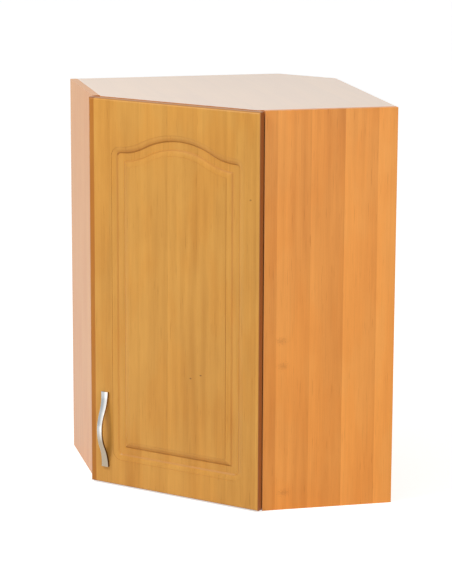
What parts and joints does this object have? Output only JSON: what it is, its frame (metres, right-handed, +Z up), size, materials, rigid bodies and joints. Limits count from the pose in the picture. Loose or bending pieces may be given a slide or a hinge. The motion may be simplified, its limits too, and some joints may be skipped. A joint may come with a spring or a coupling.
{
  "type": "corner wall cabinet",
  "caption": "Five-sided wall cabinet for a room corner, with one arched raised-panel door across the front, loose shelves inside and a bow handle.",
  "frame": {"origin": "centre of the square plan, on the underside of the bottom panel", "axes": "+Z up; +Y towards the wall behind the right-hand wing, -X towards the wall behind the left-hand wing, so the room corner is at (-X, +Y) and the door faces (+X, -Y)"},
  "size_m": [0.6099, 0.6099, 0.87],
  "materials": {
    "carcass_board": "alder-look melamine foil, satin",
    "edge_band": "alder-look edge band, satin",
    "back_board": "printed hardboard, matt",
    "door_foil": "alder-look foil over milled board, satin",
    "handle_metal": "polished, slightly satin",
    "bumper_rubber": "soft, translucent white",
    "zinc_steel": "zinc plated",
    "hinge_steel": "nickel plated",
    "cam_alloy": "cast zinc",
    "beech_dowel": "raw",
    "hanger_plastic": "moulded"
  },
  "bodies": {
    "carcass": {"right_side_panel": "carcass_board", "left_side_panel": "carcass_board", "top_panel": "carcass_board", "bottom_panel": "carcass_board", "corner_strip": "carcass_board", "lower_shelf": "carcass_board", "upper_shelf": "carcass_board", "right_side_edge_band": "edge_band", "left_side_edge_band": "edge_band", "top_edge_band": "edge_band", "bottom_edge_band": "edge_band", "lower_shelf_edge_band": "edge_band", "upper_shelf_edge_band": "edge_band", "rear_back_panel": "back_board", "left_back_panel": "back_board", "arm_screws": "zinc_steel", "plate_screws": "zinc_steel", "cam_bolts": "zinc_steel", "lower_shelf_pins": "zinc_steel", "upper_shelf_pins": "zinc_steel", "hanger_screws": "zinc_steel", "right_hanger_hook": "zinc_steel", "left_hanger_hook": "zinc_steel", "lower_hinge_arm": "hinge_steel", "upper_hinge_arm": "hinge_steel", "lower_mounting_plate": "hinge_steel", "upper_mounting_plate": "hinge_steel", "cam_locks": "cam_alloy", "dowels": "beech_dowel", "right_hanger_housing": "hanger_plastic", "left_hanger_housing": "hanger_plastic", "right_hanger_cap": "hanger_plastic", "left_hanger_cap": "hanger_plastic"},
    "door": {"door_panel": "door_foil", "door_handle": "handle_metal", "handle_screws": "zinc_steel", "door_bumpers": "bumper_rubber", "cup_screws": "zinc_steel", "lower_hinge_cup": "hinge_steel", "upper_hinge_cup": "hinge_steel", "lower_hinge_pin": "hinge_steel", "upper_hinge_pin": "hinge_steel"}
  },
  "joints": [
    {"name": "door_swing", "type": "hinge", "parent": "carcass", "child": "door", "pos_m": [0.30124, -0.00361, 0.112], "axis": [0, 0, 1], "range_deg": [0, 95]}
  ]
}
